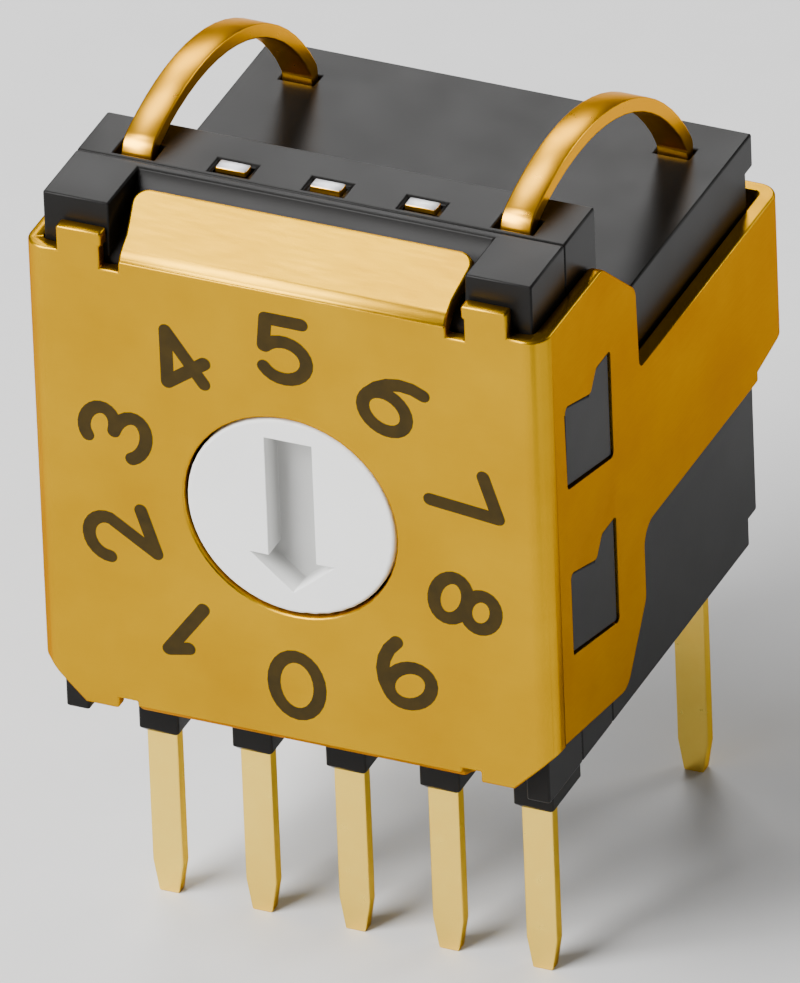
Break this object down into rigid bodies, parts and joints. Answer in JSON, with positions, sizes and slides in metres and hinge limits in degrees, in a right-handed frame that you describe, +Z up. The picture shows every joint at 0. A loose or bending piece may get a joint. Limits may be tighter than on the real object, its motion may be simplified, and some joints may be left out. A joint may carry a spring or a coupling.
{
  "type": "rotary dip switch",
  "caption": "Right-angle rotary DIP switch: a screwdriver-set coded dial in a folded metal frame, with flat pins for a circuit board.",
  "frame": {"origin": "under the middle of the switch, level with the tips of its pins", "axes": "+Z up, along the pins away from the board; -Y out of the dial; +X to the right seen from the dial"},
  "size_m": [0.011, 0.0118, 0.0177],
  "materials": {
    "gilt_steel": "satin yellow-passivated sheet metal",
    "lead_metal": "pale gold plated copper alloy",
    "black_plastic": "black glass-filled thermoplastic, satin",
    "rotor_plastic": "light grey moulded plastic",
    "seal_rubber": "black rubber",
    "spring_steel": "thin stainless spring strip",
    "resin": "black epoxy"
  },
  "bodies": {
    "switch_body": {"front_frame": "gilt_steel", "switch_housing": "black_plastic", "terminal_base": "black_plastic", "base_resin": "resin", "rear_spacer": "black_plastic", "rotor_seal": "seal_rubber", "terminal_1": "lead_metal", "terminal_2": "lead_metal", "terminal_common": "lead_metal", "terminal_4": "lead_metal", "terminal_8": "lead_metal", "cut_lead_left": "lead_metal", "cut_lead_centre": "lead_metal", "cut_lead_right": "lead_metal", "support_lead_left": "lead_metal", "support_lead_right": "lead_metal", "detent_spring_upper": "spring_steel", "detent_spring_lower": "spring_steel"},
    "rotor": {"rotor": "rotor_plastic", "contact_brush": "spring_steel"}
  },
  "joints": [
    {"name": "rotor_turn", "type": "hinge", "parent": "switch_body", "child": "rotor", "pos_m": [0, -0.00487, 0.01093], "axis": [0, 1, 0], "continuous": true, "deforming": ["detent_spring_upper", "detent_spring_lower"]}
  ]
}
